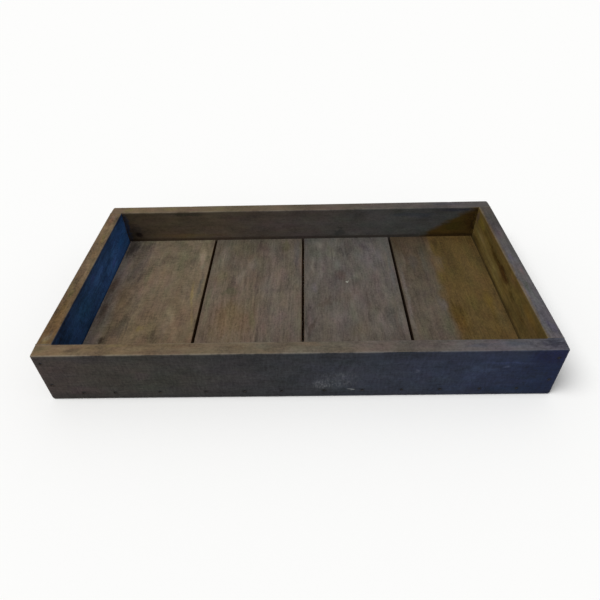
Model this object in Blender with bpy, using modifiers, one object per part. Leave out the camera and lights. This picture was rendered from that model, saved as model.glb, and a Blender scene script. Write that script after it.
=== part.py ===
"""A shallow wooden serving tray, nailed up from eight boards.

Two rails run the full length, one in front and one behind. Two end boards stand between them, and four wide
boards lie between the rails as the floor, with their grain from front to back. Round nails go in through the
outer faces of the rails: two at each corner, into the end grain of the end boards, and three at each end of
each floor board. Each head sits a little below the face, in the pocket that the nail punch left.

Metres, +Z up. +X runs along the rails and +Y from the front rail to the back rail. The origin is under the
middle of the tray, on the surface that it stands on.
"""

from math import pi

import bmesh
import bpy
from mathutils import Vector

MM = 0.001

# Frame: the outer size of the tray and the stock that its four walls are cut from
TRAY_LENGTH = 610 * MM
TRAY_DEPTH = 330 * MM
WALL_HEIGHT = 78 * MM
WALL_THICKNESS = 19 * MM

# Floor: boards laid side by side with open joints, ripped by eye to widths that fall a little to the right
FLOOR_THICKNESS = 24 * MM
FLOOR_BOARD_WIDTH_SHARES = (0.257, 0.253, 0.249, 0.241)
FLOOR_GAP = 3.6 * MM
FLOOR_SIDE_GAP = 1.5 * MM

# Seat of one board's end grain against the face of a rail
JOINT_GAP = 0.3 * MM

# Arrises: how far each kind of edge was sanded round
RIM_ROUND = 1.8 * MM
CORNER_ROUND = 3.6 * MM
FOOT_ROUND = 2.4 * MM
RAIL_END_TOP_ROUND = 3.4 * MM
RAIL_END_BOTTOM_ROUND = 4.6 * MM
FLOOR_ROUND = 0.9 * MM
SEAM_ROUND = 0.5 * MM
ROUND_SEGMENTS = 3

# Nails: round wire nails with a flat, slightly crowned head
NAIL_LENGTH = 45 * MM
NAIL_SHANK_RADIUS = 0.9 * MM
NAIL_HEAD_RADIUS = 1.5 * MM
NAIL_HEAD_EDGE = 0.7 * MM
NAIL_CROWN = 0.25 * MM
NAIL_POINT_LENGTH = 3.2 * MM
NAIL_SET_DEPTH = 0.6 * MM
NAIL_FIT_GAP = 0.3 * MM
NAIL_SIDES = 12

# Corner nails: their heights as shares of the wall
CORNER_NAIL_HEIGHT_SHARES = {"lower": 0.35, "upper": 0.83}

# Floor nails, set by eye: places across each board as shares of its width, counted from its middle
FLOOR_NAIL_SHARES = {
    "front": ((-0.34, -0.07, 0.31), (-0.32, 0.01, 0.33), (-0.33, 0.0, 0.34), (-0.35, 0.0, 0.33)),
    "back": ((-0.33, 0.02, 0.34), (-0.34, -0.02, 0.32), (-0.31, 0.03, 0.33), (-0.34, 0.01, 0.32)),
}

# How far every cutter runs past the face that it enters, and how near two points count as one
CUT_OVERRUN = 2 * MM
MERGE_DISTANCE = 0.01 * MM

# Sizes that follow from those above
INSIDE_LENGTH = TRAY_LENGTH - 2 * WALL_THICKNESS
INSIDE_DEPTH = TRAY_DEPTH - 2 * WALL_THICKNESS
CROSS_BOARD_LENGTH = INSIDE_DEPTH - 2 * JOINT_GAP
RAIL_MIDDLE_Y = (TRAY_DEPTH - WALL_THICKNESS) / 2
END_MIDDLE_X = (TRAY_LENGTH - WALL_THICKNESS) / 2
FLOOR_JOINTS = len(FLOOR_BOARD_WIDTH_SHARES) - 1
FLOOR_WOOD_WIDTH = INSIDE_LENGTH - FLOOR_JOINTS * FLOOR_GAP - 2 * FLOOR_SIDE_GAP

# Which edges of a board are rounded, by the two faces that meet there, and by how much
RAIL_ROUNDS = {
    "outer top": RIM_ROUND,
    "inner top": RIM_ROUND,
    "end top": RAIL_END_TOP_ROUND,
    "outer end": CORNER_ROUND,
    "outer bottom": FOOT_ROUND,
    "end bottom": RAIL_END_BOTTOM_ROUND,
    "inner end": SEAM_ROUND,
    "inner bottom": SEAM_ROUND,
}
END_BOARD_ROUNDS = {
    "outer top": RIM_ROUND,
    "inner top": RIM_ROUND,
    "outer bottom": FOOT_ROUND,
    "inner bottom": SEAM_ROUND,
    "end top": SEAM_ROUND,
    "outer end": SEAM_ROUND,
}
FLOOR_BOARD_ROUNDS = {
    "side top": FLOOR_ROUND,
    "side bottom": FLOOR_ROUND,
    "end top": SEAM_ROUND,
    "end bottom": SEAM_ROUND,
}

# Which of a board's faces is which, by the direction that the face looks in
FRONT_RAIL_FACES = {"-x": "end", "+x": "end", "-y": "outer", "+y": "inner", "-z": "bottom", "+z": "top"}
BACK_RAIL_FACES = {"-x": "end", "+x": "end", "-y": "inner", "+y": "outer", "-z": "bottom", "+z": "top"}
LEFT_END_FACES = {"-x": "outer", "+x": "inner", "-y": "end", "+y": "end", "-z": "bottom", "+z": "top"}
RIGHT_END_FACES = {"-x": "inner", "+x": "outer", "-y": "end", "+y": "end", "-z": "bottom", "+z": "top"}
FLOOR_BOARD_FACES = {"-x": "side", "+x": "side", "-y": "end", "+y": "end", "-z": "bottom", "+z": "top"}

# Finishes: weathered hardwood, a little different on each board, and dulled iron
FINISHES = {
    "front_rail": ("slate brown hardwood", "#3A3B40", 0.78, 0.0),
    "back_rail": ("dark brown hardwood", "#473E34", 0.8, 0.0),
    "left_end": ("navy stained hardwood", "#1F3450", 0.74, 0.0),
    "right_end": ("olive brown hardwood", "#5B4A28", 0.76, 0.0),
    "floor_board_1": ("warm brown hardwood", "#66594A", 0.8, 0.0),
    "floor_board_2": ("grey brown hardwood", "#60574C", 0.8, 0.0),
    "floor_board_3": ("ash grey hardwood", "#5D5750", 0.82, 0.0),
    "floor_board_4": ("olive washed hardwood", "#57492F", 0.8, 0.0),
    "nail": ("dulled iron", "#2A241F", 0.62, 0.75),
}

PARTS_COLLECTION = "serving_tray"
CUTTERS_COLLECTION = "cutters"


def clear_scene():
    """Removes what the startup scene holds."""
    for obj in list(bpy.data.objects):
        bpy.data.objects.remove(obj, do_unlink=True)


def new_collection(name, parent):
    """A collection inside another."""
    collection = bpy.data.collections.new(name)
    parent.children.link(collection)
    return collection


def linear(channel):
    """One sRGB channel, from 0 to 1, as linear light."""
    return channel / 12.92 if channel <= 0.04045 else ((channel + 0.055) / 1.055) ** 2.4


def finish(key):
    """The Principled material of one kind of piece, made once and shared by the pieces that have it."""
    name, colour, roughness, metallic = FINISHES[key]
    material = bpy.data.materials.get(name)
    if material is None:
        material = bpy.data.materials.new(name)
        material.use_nodes = True
        shader = material.node_tree.nodes["Principled BSDF"]
        channels = [int(colour[i : i + 2], 16) / 255 for i in (1, 3, 5)]
        shader.inputs["Base Color"].default_value = (*map(linear, channels), 1.0)
        shader.inputs["Roughness"].default_value = roughness
        shader.inputs["Metallic"].default_value = metallic
    return material


def direction_name(normal):
    """The axis that a box face looks along, with its sign, such as -y."""
    axis = max(range(3), key=lambda i: abs(normal[i]))
    return ("+" if normal[axis] > 0 else "-") + "xyz"[axis]


def board_mesh(name, size, faces, rounds):
    """A box of this size round the origin. An edge weighs as much as its rounding, next to the largest."""
    radius_of = {frozenset(pair.split()): radius for pair, radius in rounds.items()}
    largest = max(rounds.values())
    shape = bmesh.new()
    bmesh.ops.create_cube(shape, size=1.0)
    bmesh.ops.scale(shape, vec=size, verts=shape.verts)
    shape.normal_update()
    weight = shape.edges.layers.float.new("bevel_weight_edge")
    for edge in shape.edges:
        meeting = frozenset(faces[direction_name(face.normal)] for face in edge.link_faces)
        edge[weight] = radius_of.get(meeting, 0.0) / largest
    mesh = bpy.data.meshes.new(name)
    shape.to_mesh(mesh)
    shape.free()
    mesh.shade_smooth()
    return mesh


def add_board(name, centre, size, faces, rounds, parts, cutters):
    """One board, placed by its middle. Its arrises are eased first, and then its nail holes are cut."""
    board = bpy.data.objects.new(name, board_mesh(name, size, faces, rounds))
    board.location = centre
    parts.objects.link(board)
    board.data.materials.append(finish(name))
    eased = board.modifiers.new("eased arrises", "BEVEL")
    eased.limit_method = "WEIGHT"
    eased.width = max(rounds.values())
    eased.segments = ROUND_SEGMENTS
    eased.harden_normals = True
    drilled = board.modifiers.new("nail holes", "BOOLEAN")
    drilled.operation = "DIFFERENCE"
    drilled.operand_type = "COLLECTION"
    drilled.collection = new_collection(name + "_nail_holes", cutters)
    return board


def add_rails(parts, cutters):
    """The front and back walls, which run the full length of the tray."""
    size = Vector((TRAY_LENGTH, WALL_THICKNESS, WALL_HEIGHT))
    front = Vector((0.0, -RAIL_MIDDLE_Y, WALL_HEIGHT / 2))
    back = Vector((0.0, RAIL_MIDDLE_Y, WALL_HEIGHT / 2))
    return {
        "front": add_board("front_rail", front, size, FRONT_RAIL_FACES, RAIL_ROUNDS, parts, cutters),
        "back": add_board("back_rail", back, size, BACK_RAIL_FACES, RAIL_ROUNDS, parts, cutters),
    }


def add_end_boards(parts, cutters):
    """The short walls, which stand between the rails."""
    size = Vector((WALL_THICKNESS, CROSS_BOARD_LENGTH, WALL_HEIGHT))
    left = Vector((-END_MIDDLE_X, 0.0, WALL_HEIGHT / 2))
    right = Vector((END_MIDDLE_X, 0.0, WALL_HEIGHT / 2))
    return {
        "left": add_board("left_end", left, size, LEFT_END_FACES, END_BOARD_ROUNDS, parts, cutters),
        "right": add_board("right_end", right, size, RIGHT_END_FACES, END_BOARD_ROUNDS, parts, cutters),
    }


def floor_board_spans():
    """The left and right side of each floor board, in X, from left to right."""
    spans = []
    left = -INSIDE_LENGTH / 2 + FLOOR_SIDE_GAP
    for share in FLOOR_BOARD_WIDTH_SHARES:
        right = left + share / sum(FLOOR_BOARD_WIDTH_SHARES) * FLOOR_WOOD_WIDTH
        spans.append((left, right))
        left = right + FLOOR_GAP
    return spans


def add_floor(parts, cutters):
    """The floor boards, from left to right, level with the foot of the walls."""
    boards = []
    for number, (left, right) in enumerate(floor_board_spans(), start=1):
        centre = Vector(((left + right) / 2, 0.0, FLOOR_THICKNESS / 2))
        size = Vector((right - left, CROSS_BOARD_LENGTH, FLOOR_THICKNESS))
        name = f"floor_board_{number}"
        board = add_board(name, centre, size, FLOOR_BOARD_FACES, FLOOR_BOARD_ROUNDS, parts, cutters)
        boards.append(board)
    return boards


def turned_mesh(name, profile):
    """The solid that a profile of (radius, height) points sweeps round Z. The profile starts and ends on the
    axis and runs from the top down."""
    outline = bpy.data.meshes.new(name + " outline")
    points = [(radius, 0.0, height) for radius, height in profile]
    outline.from_pydata(points, [(i, i + 1) for i in range(len(points) - 1)], [])
    lathe = bpy.data.objects.new(name + " outline", outline)
    bpy.context.scene.collection.objects.link(lathe)
    turn = lathe.modifiers.new("turned", "SCREW")
    turn.axis = "Z"
    turn.steps = NAIL_SIDES
    turn.render_steps = NAIL_SIDES
    turn.use_merge_vertices = True
    turn.merge_threshold = MERGE_DISTANCE
    graph = bpy.context.evaluated_depsgraph_get()
    solid = bpy.data.meshes.new_from_object(lathe.evaluated_get(graph))
    solid.name = name
    bpy.data.objects.remove(lathe, do_unlink=True)
    bpy.data.meshes.remove(outline)
    solid.shade_smooth()
    solid.set_sharp_from_angle(angle=pi / 5)
    return solid


def nail_mesh():
    """A nail with its crown at the origin and its point down -Z."""
    head_underside = -NAIL_CROWN - NAIL_HEAD_EDGE
    profile = [
        (0.0, 0.0),
        (NAIL_HEAD_RADIUS, -NAIL_CROWN),
        (NAIL_HEAD_RADIUS, head_underside),
        (NAIL_SHANK_RADIUS, head_underside),
        (NAIL_SHANK_RADIUS, NAIL_POINT_LENGTH - NAIL_LENGTH),
        (0.0, -NAIL_LENGTH),
    ]
    nail = turned_mesh("nail", profile)
    nail.materials.append(finish("nail"))
    return nail


def nail_hole_mesh():
    """What is cut for a nail: the punched pocket over its head, and a blind hole round shank and point."""
    pocket_mouth = NAIL_SET_DEPTH + CUT_OVERRUN
    pocket_floor = -NAIL_CROWN - NAIL_HEAD_EDGE - NAIL_FIT_GAP
    pocket_radius = NAIL_HEAD_RADIUS + NAIL_FIT_GAP
    hole_radius = NAIL_SHANK_RADIUS + NAIL_FIT_GAP
    profile = [
        (0.0, pocket_mouth),
        (pocket_radius, pocket_mouth),
        (pocket_radius, pocket_floor),
        (hole_radius, pocket_floor),
        (hole_radius, NAIL_POINT_LENGTH - NAIL_LENGTH),
        (0.0, -NAIL_LENGTH - 2 * NAIL_FIT_GAP),
    ]
    return turned_mesh("nail hole", profile)


def drive_nail(name, x, side, z, boards, meshes, parts):
    """Puts one nail in through the front rail (side -1) or the back rail (side 1), square to its face, and
    its hole among the cutters of each board that it goes through."""
    nail = bpy.data.objects.new(name, meshes["nail"])
    parts.objects.link(nail)
    hole = bpy.data.objects.new(name + "_hole", meshes["hole"])
    hole.hide_render = True
    hole.display_type = "WIRE"
    for obj in (nail, hole):
        obj.location = (x, side * (TRAY_DEPTH / 2 - NAIL_SET_DEPTH), z)
        obj.rotation_euler = (-side * pi / 2, 0.0, 0.0)
    for board in boards:
        board.modifiers["nail holes"].collection.objects.link(hole)


def nail_corners(side_name, side, rail, ends, meshes, parts):
    """The nails through one rail into the end grain of the end boards."""
    for end_name, x in (("left", -END_MIDDLE_X), ("right", END_MIDDLE_X)):
        for height_name, share in CORNER_NAIL_HEIGHT_SHARES.items():
            name = f"{side_name}_{end_name}_nail_{height_name}"
            boards = (rail, ends[end_name])
            drive_nail(name, x, side, share * WALL_HEIGHT, boards, meshes, parts)


def nail_floor(side_name, side, rail, floor, meshes, parts):
    """The nails through one rail into the end grain of the floor boards, numbered from left to right."""
    tables = FLOOR_NAIL_SHARES[side_name]
    number = 0
    for index, (board, (left, right)) in enumerate(zip(floor, floor_board_spans())):
        for share in tables[index % len(tables)]:
            number += 1
            name = f"{side_name}_floor_nail_{number:02d}"
            x = (left + right) / 2 + share * (right - left)
            drive_nail(name, x, side, FLOOR_THICKNESS / 2, (rail, board), meshes, parts)


def main():
    clear_scene()
    parts = new_collection(PARTS_COLLECTION, bpy.context.scene.collection)
    cutters = new_collection(CUTTERS_COLLECTION, bpy.context.scene.collection)
    rails = add_rails(parts, cutters)
    ends = add_end_boards(parts, cutters)
    floor = add_floor(parts, cutters)
    meshes = {"nail": nail_mesh(), "hole": nail_hole_mesh()}
    for side_name, side in (("front", -1), ("back", 1)):
        nail_corners(side_name, side, rails[side_name], ends, meshes, parts)
        nail_floor(side_name, side, rails[side_name], floor, meshes, parts)


main()
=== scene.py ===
# %% [markdown]
# A nailed wooden tray, dressed for a photograph.
# The tray is eight boards and thirty-two nails: a rail in front and one behind, an end board at each side
# between them, and four wide boards side by side as the floor. This file keeps that construction as it is
# and gives it its looks: wood with eased arrises, growth rings, fibres, stains, scuffs and nail pockets.
# The first cell loads the construction as a fixed frame. Everything after it sits where the frame says.

# %% Load the frame
import math

import bpy
import numpy as np
from mathutils import Matrix, Vector


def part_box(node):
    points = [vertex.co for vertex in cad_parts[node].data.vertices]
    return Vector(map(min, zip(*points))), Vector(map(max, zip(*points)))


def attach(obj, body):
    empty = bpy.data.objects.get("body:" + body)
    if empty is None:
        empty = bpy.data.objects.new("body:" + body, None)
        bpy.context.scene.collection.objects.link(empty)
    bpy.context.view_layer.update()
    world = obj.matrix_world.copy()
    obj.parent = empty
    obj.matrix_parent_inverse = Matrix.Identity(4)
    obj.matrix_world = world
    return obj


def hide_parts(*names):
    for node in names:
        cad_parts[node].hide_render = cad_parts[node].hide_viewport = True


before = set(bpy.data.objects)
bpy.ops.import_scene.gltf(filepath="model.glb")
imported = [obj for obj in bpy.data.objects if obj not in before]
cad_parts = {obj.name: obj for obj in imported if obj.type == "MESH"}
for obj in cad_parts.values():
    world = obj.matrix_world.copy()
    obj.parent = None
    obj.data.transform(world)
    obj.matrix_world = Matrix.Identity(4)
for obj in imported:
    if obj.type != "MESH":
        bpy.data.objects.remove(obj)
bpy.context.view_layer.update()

MM = 0.001


# %% [markdown]
# The camera comes first, because every later choice is judged through it.
# The photographer stood in front of the tray and a little to its right, looked down at about forty degrees
# and held the camera slightly tilted. A camera is placed by three turns: the roll about its own line of
# sight, then the pitch, then the yaw. Multiplying the three matrices in that order is clearer than finding
# one set of Euler angles for all three. The lens comes from the focal length in pixels of the photograph,
# as a share of its width, on a sensor of the usual 36 mm.

# %% Camera
PHOTO_WIDTH_PX = 600
FOCAL_LENGTH_PX = 490.5
SENSOR_WIDTH_MM = 36
CAMERA_PLACE = (15.1 * MM, -541.6 * MM, 482.7 * MM)
CAMERA_YAW, CAMERA_PITCH, CAMERA_ROLL = math.radians(1.49), math.radians(40.86), math.radians(-1.80)
NEAREST_SEEN = 10 * MM

camera = bpy.data.objects.new("camera", bpy.data.cameras.new("camera"))
bpy.context.scene.collection.objects.link(camera)
bpy.context.scene.camera = camera
camera.data.sensor_width = SENSOR_WIDTH_MM
camera.data.lens = FOCAL_LENGTH_PX / PHOTO_WIDTH_PX * SENSOR_WIDTH_MM
camera.data.clip_start = NEAREST_SEEN
camera.matrix_world = (
    Matrix.Translation(CAMERA_PLACE)
    @ Matrix.Rotation(CAMERA_YAW, 4, "Z")
    @ Matrix.Rotation(math.pi / 2 - CAMERA_PITCH, 4, "X")
    @ Matrix.Rotation(CAMERA_ROLL, 4, "Z")
)
print("camera:", round(camera.data.lens, 2), "mm lens")

# %% [markdown]
# Three small helpers serve every material.
# Colours are written as sRGB hex values, the way a picker shows them, but a shader counts light, so each
# channel is turned to linear first. Nodes are added by one function: it takes the kind of node, the values
# or links of its inputs, and its settings, and hands back an output to link on. Patterns are measured on
# the real wood, so a third helper turns millimetres into repeats in a metre.

# %% Colour and node helpers
def linear(hex_colour):
    """An sRGB hex colour as linear red, green, blue and alpha."""
    channels = np.array([int(hex_colour[i : i + 2], 16) for i in (1, 3, 5)]) / 255
    light = np.where(channels <= 0.04045, channels / 12.92, ((channels + 0.055) / 1.055) ** 2.4)
    return (*light.tolist(), 1.0)


def add_node(tree, kind, inputs=(), output=0, **settings):
    """Adds a node and returns one of its outputs. Inputs go by number or name, as a value or as a link."""
    node = tree.nodes.new(kind)
    for name, value in settings.items():
        setattr(node, name, value)
    pairs = inputs.items() if isinstance(inputs, dict) else enumerate(inputs)
    for key, value in pairs:
        if isinstance(value, bpy.types.NodeSocket):
            tree.links.new(value, node.inputs[key])
        else:
            node.inputs[key].default_value = value
    return node.outputs[output]


def per_metre(*spans_mm):
    """How often a pattern repeats in a metre along each axis, from its real size there in millimetres."""
    return tuple(1 / (span * MM) for span in spans_mm)


# %% [markdown]
# The studio is a plain pale floor under an even sky, with one soft key light from the upper left.
# A lamp close by would light the near boards more than the far ones, so the key is a sun lamp with a wide
# disc: as even as daylight, with soft shadows. Together with the sky it gives a level white sheet just its
# own brightness, which lets the colours below be read off as they look. The key stands well to the side of
# the joints between the floor boards, so they stay dark all the way down.

# %% Studio
FLOOR_SPAN = 30.0
SKY_LIGHT = 0.40
KEY_ON_LEVEL = 0.60
KEY_FROM = Vector((-0.45, -0.20, 0.87))
KEY_DISC = math.radians(34)
PAPER = "#FDFDFC"

scene = bpy.context.scene
scene.view_settings.view_transform = "Standard"
world = bpy.data.worlds.new("studio")
world.use_nodes = True
scene.world = world
sky = world.node_tree.nodes["Background"]
sky.inputs["Color"].default_value = linear("#FFFFFF")
seen = add_node(world.node_tree, "ShaderNodeLightPath", output="Is Camera Ray")
backdrop = {"Value": seen, "To Min": SKY_LIGHT, "To Max": linear(PAPER)[0]}
strength = add_node(world.node_tree, "ShaderNodeMapRange", backdrop)
world.node_tree.links.new(strength, sky.inputs["Strength"])

key = bpy.data.objects.new("key_light", bpy.data.lights.new("key_light", "SUN"))
scene.collection.objects.link(key)
key.rotation_euler = KEY_FROM.to_track_quat("Z", "Y").to_euler()
key.data.angle = KEY_DISC
key.data.energy = KEY_ON_LEVEL * math.pi / KEY_FROM.normalized().z

floor_mesh = bpy.data.meshes.new("studio_floor")
corners = np.array([(-1, -1, 0), (1, -1, 0), (1, 1, 0), (-1, 1, 0)]) * FLOOR_SPAN / 2
floor_mesh.from_pydata(corners.tolist(), [], [(0, 1, 2, 3)])
studio_floor = bpy.data.objects.new("studio_floor", floor_mesh)
scene.collection.objects.link(studio_floor)
paper = bpy.data.materials.new("white_studio_paper")
paper.use_nodes = True
paper_shader = paper.node_tree.nodes["Principled BSDF"]
paper_shader.inputs["Base Color"].default_value = linear(PAPER)
paper_shader.inputs["Roughness"].default_value = 1.0
paper_shader.inputs["Specular IOR Level"].default_value = 0.0
floor_mesh.materials.append(paper)
print("studio: key", round(key.data.energy, 2), "W/m2, sky", SKY_LIGHT)

# %% [markdown]
# Each board is one closed skin of small quads.
# A board could be a cube with a Bevel, but then its arrises would be equally sharp all along and its faces
# dead flat. Here the skin starts as the surface of a lattice: three lists of places, one along each axis,
# whose outer points are joined into the six sides. Points on an edge belong to both of its sides, so the
# skin has no seams. The lists are evenly spaced, with extra places close to each edge, where the surface
# has to turn, and round each nail.

# %% Lattice of a board
ARRIS_SHARES = np.array([0.12, 0.28, 0.5, 0.75, 1.0])
MICROMETRE_DIGITS = 6


def places(low, high, step, extra):
    """Sorted places from low to high: an even run, less those within half a step of an extra one."""
    extra = np.unique(np.round([place for place in extra if low < place < high], MICROMETRE_DIGITS))
    even = np.linspace(low, high, int(round((high - low) / step)) + 1)
    clear = np.abs(even[:, None] - extra[None, :]).min(axis=1) > step / 2
    clear[[0, -1]] = True
    return np.unique(np.concatenate([even[clear], extra]))


def edge_places(low, high, round_low, round_high):
    """The extra places near both ends of an axis, close together where the arris curves most."""
    return np.concatenate([low + ARRIS_SHARES * round_low, high - ARRIS_SHARES * round_high])


def lattice_skin(xs, ys, zs):
    """The outer points of a lattice, and quads that join them.

    Point (i, j, k) of the lattice lies at (xs[i], ys[j], zs[k]). Those with a first or last index get a
    running number, and each of the six sides is a sheet of those numbers: a quad takes a number, the next
    one along the first index, the one across from it, and the next one along the second index.
    """
    number = np.full((len(xs), len(ys), len(zs)), -1)
    outer = np.zeros(number.shape, bool)
    outer[[0, -1]] = outer[:, [0, -1]] = outer[:, :, [0, -1]] = True
    number[outer] = np.arange(outer.sum())
    i, j, k = np.nonzero(outer)
    points = np.column_stack([xs[i], ys[j], zs[k]])
    sheets = [number[:, :, -1], number[:, :, 0].T, number[-1], number[0].T, number[:, 0], number[:, -1].T]
    quads = [np.stack([s[:-1, :-1], s[1:, :-1], s[1:, 1:], s[:-1, 1:]], axis=-1) for s in sheets]
    return points, np.concatenate([sheet.reshape(-1, 4) for sheet in quads])


# %% [markdown]
# Sanding and years of handling round the arrises.
# Rounding an edge means moving the points near it onto an arc. The square at the edge, seen end on, is
# pressed into a quarter circle: each point slides towards the arc's centre until its distance from the
# centre equals what was its larger side distance. Concentric squares become concentric circles, so nothing
# folds. The upright edges go first. The rim and the foot then follow the outline that the upright edges
# left, so the corners come out like a pebble's and not like a mitre. The four upright sides of a board
# have numbers, because each may be rounded by a radius of its own.

# %% Eased arrises
MINUS_X, PLUS_X, MINUS_Y, PLUS_Y = range(4)
TINY = 1e-9


def pressed(first, second):
    """The factor that turns a point at these two distances from an arc's centre into the quarter circle."""
    longest = np.maximum(first, second)
    straight = np.hypot(first, second)
    inside = (first > 0) & (second > 0)
    return np.where(inside, longest / np.where(inside, straight, 1.0), 1.0)


def eased(points, low, high, upright, rim, foot):
    """Rounds a box skin.

    upright has a radius for sides -y and +y. rim and foot have, for each point, one for each of the four
    sides.
    """
    centre, half = (low + high) / 2, (high - low) / 2
    local = points - centre
    sign = np.where(local < 0, -1.0, 1.0)
    depth = half - np.abs(local)
    radius = np.where(sign[:, 1] < 0, upright[0], upright[1])
    reach = np.maximum(radius[:, None] - depth[:, :2], 0.0)
    factor = pressed(reach[:, 0], reach[:, 1])
    corner = (reach.min(axis=1) > 0)[:, None]
    arc = reach * factor[:, None]
    local[:, :2] += np.where(corner, sign[:, :2] * (arc - reach), 0.0)
    arc_length = np.maximum(np.linalg.norm(arc, axis=1), TINY)
    nearer_x = depth[:, 0] < depth[:, 1]
    facing = np.where(corner, arc / arc_length[:, None], np.column_stack([nearer_x, ~nearer_x]))
    inset = np.where(corner[:, 0], radius - arc_length, depth[:, :2].min(axis=1))
    side_x = np.where(sign[:, 0] < 0, MINUS_X, PLUS_X)
    side_y = np.where(sign[:, 1] < 0, MINUS_Y, PLUS_Y)
    side = np.column_stack([side_x, side_y])
    for up, radii in ((1.0, rim), (-1.0, foot)):
        turn = (np.take_along_axis(radii, side, axis=1) * facing**2).sum(axis=1)
        above = half[2] - up * local[:, 2]
        inward, upward = np.maximum(turn - inset, 0.0), np.maximum(turn - above, 0.0)
        factor = pressed(inward, upward)
        shift = inward * (factor - 1)
        local[:, :2] += sign[:, :2] * facing * shift[:, None]
        local[:, 2] += up * upward * (factor - 1)
    return local + centre


# %% [markdown]
# Real boards are never quite flat, and their edges carry nicks.
# A smooth random height is a sum of a dozen cosine waves that run in random directions. It is used for
# the plane's slight waves and for the wander of the sides. A nick is a shallow dent with a bell-shaped
# profile, pressed in on an arris. Every movement goes inwards, so a board never outgrows its place.

# %% Waves and nicks
def waves(points, spans, seed, count=12):
    """A smooth random value from about -1 to 1, whose waves are about spans long along each axis.

    The sum over count random directions d and phases p of cos(2 pi (points / spans) . d + p), scaled down.
    """
    draw = np.random.default_rng(seed)
    directions = draw.normal(size=(count, 3))
    directions /= np.linalg.norm(directions, axis=1)[:, None]
    phases = draw.uniform(0, 2 * math.pi, count)
    turned = 2 * math.pi * (points / np.asarray(spans)) @ directions.T
    return np.cos(turned + phases).sum(axis=1) / count**0.5 / 2


def inward(points, low, high, within):
    """Unit directions from the surface to the nearest point of a box that is smaller by within all round."""
    core = np.clip(points, low + within, high - within)
    away = core - points
    return away / np.maximum(np.linalg.norm(away, axis=1), TINY)[:, None]


def nicked(points, spots, radii, depths, direction):
    """Presses bell-shaped dents in: each point moves inwards by depth times exp(-(distance / radius)^2)."""
    for spot, radius, depth in zip(spots, radii, depths):
        near = np.exp(-((points - spot) ** 2).sum(axis=1) / radius**2)
        points = points + direction * (depth * near)[:, None]
    return points


def arris_spots(low, high, count, draw):
    """Random places on the twelve edges of a board, more of them on the longer ones."""
    share = draw.uniform(0, 1, (count, 3))
    ends = draw.integers(0, 2, (count, 3)).astype(float)
    along = draw.choice(3, count, p=(high - low) / (high - low).sum())
    across = np.arange(3) != along[:, None]
    share[across] = ends[across]
    return low + share * (high - low)


# %% [markdown]
# The sides of the floor boards wander, as a saw leaves them, so the dark joints aren't ruled lines.
# Each side is moved inwards by two waves along the board, a long one and a short one, and the movement
# fades within a few millimetres from the side, so the middle of the board stays put. The blade also stood
# a little out of square, so a joint is narrower at the boards' foot than at their face. That is why next
# to no light gets down through it.

# %% Wandering sides
SWAY_SPANS = (55 * MM, 15 * MM)
LONG_WEIGHT, SHORT_WEIGHT = 0.45, 0.25
SWAY_FADE = 6 * MM
SWAY_SEED = 50
RIGHT_SIDE_AWAY = (0.3, 0.7)


def swayed(points, low, high, sway, flare, seed):
    """Moves the sides inwards by up to sway and out at the foot by flare. Both have a left and a right value.

    The line that the waves are read along lies elsewhere for the right side, so the two sides differ.
    """
    side = np.where(points[:, 0] < (low[0] + high[0]) / 2, MINUS_X, PLUS_X)
    line = np.column_stack([side * RIGHT_SIDE_AWAY[0], points[:, 1], side * RIGHT_SIDE_AWAY[1]])
    long_wave, short_wave = (waves(line, (1, span, 1), seed + SWAY_SEED) for span in SWAY_SPANS)
    wander = np.clip(0.5 + LONG_WEIGHT * long_wave + SHORT_WEIGHT * short_wave, 0, 1)
    flared = np.asarray(flare)[side] * (high[2] - points[:, 2]) / (high[2] - low[2])
    amount = wander * np.asarray(sway)[side] - flared
    from_side = np.where(side == MINUS_X, points[:, 0] - low[0], high[0] - points[:, 0])
    inwards = np.where(side == MINUS_X, 1, -1)
    points[:, 0] += inwards * amount * np.clip(1 - from_side / SWAY_FADE, 0, 1)
    return points


# %% [markdown]
# Each nail was driven home and set below the face with a punch, which leaves a round pocket.
# The pocket isn't cut by a Boolean. The lattice has a few extra lines on both sides of each nail, which
# make nested squares round it. The same squeeze that rounds an arris turns those squares into circles, and
# they then sink to the pocket's profile. The places and the head's size are read from the frame. Iron has
# blackened the wood round each head, most of all close to it.

# %% Nail pockets
NAIL_NAMES = sorted(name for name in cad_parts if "_nail_" in name)
NAIL_HEAD_RADIUS = (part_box(NAIL_NAMES[0])[1].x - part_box(NAIL_NAMES[0])[0].x) / 2
POCKET_RINGS = NAIL_HEAD_RADIUS + np.array([-0.8, 0.05, 0.22, 0.5, 1.2]) * MM
POCKET_DEPTHS = np.array([1.2, 1.2, 0.5, 0.0, 0.0]) * MM
POCKET_MARGIN = 1.4 * MM
POCKET_REACH = POCKET_RINGS[-1] + POCKET_MARGIN
STAIN_REACH, STAIN_CORE, STAIN_MOST = 3.0 * MM, 1.3, 0.85
ON_FACE = 1e-6
NAIL_PLACE_DIGITS = 5


def nails_of(rail):
    """The x and z of every nail that goes in through one rail's outer face."""
    boxes = [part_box(name) for name in NAIL_NAMES if name.startswith(rail.split("_")[0])]
    return np.array([((low.x + high.x) / 2, (low.z + high.z) / 2) for low, high in boxes])


def pocket_places(values):
    """The extra lattice lines on both sides of each nail, the last ones where the squeeze begins."""
    offsets = np.concatenate([POCKET_RINGS, [POCKET_REACH]])
    middles = np.unique(np.round(values, NAIL_PLACE_DIGITS))
    return (middles[:, None] + np.concatenate([-offsets, offsets])).ravel()


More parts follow.
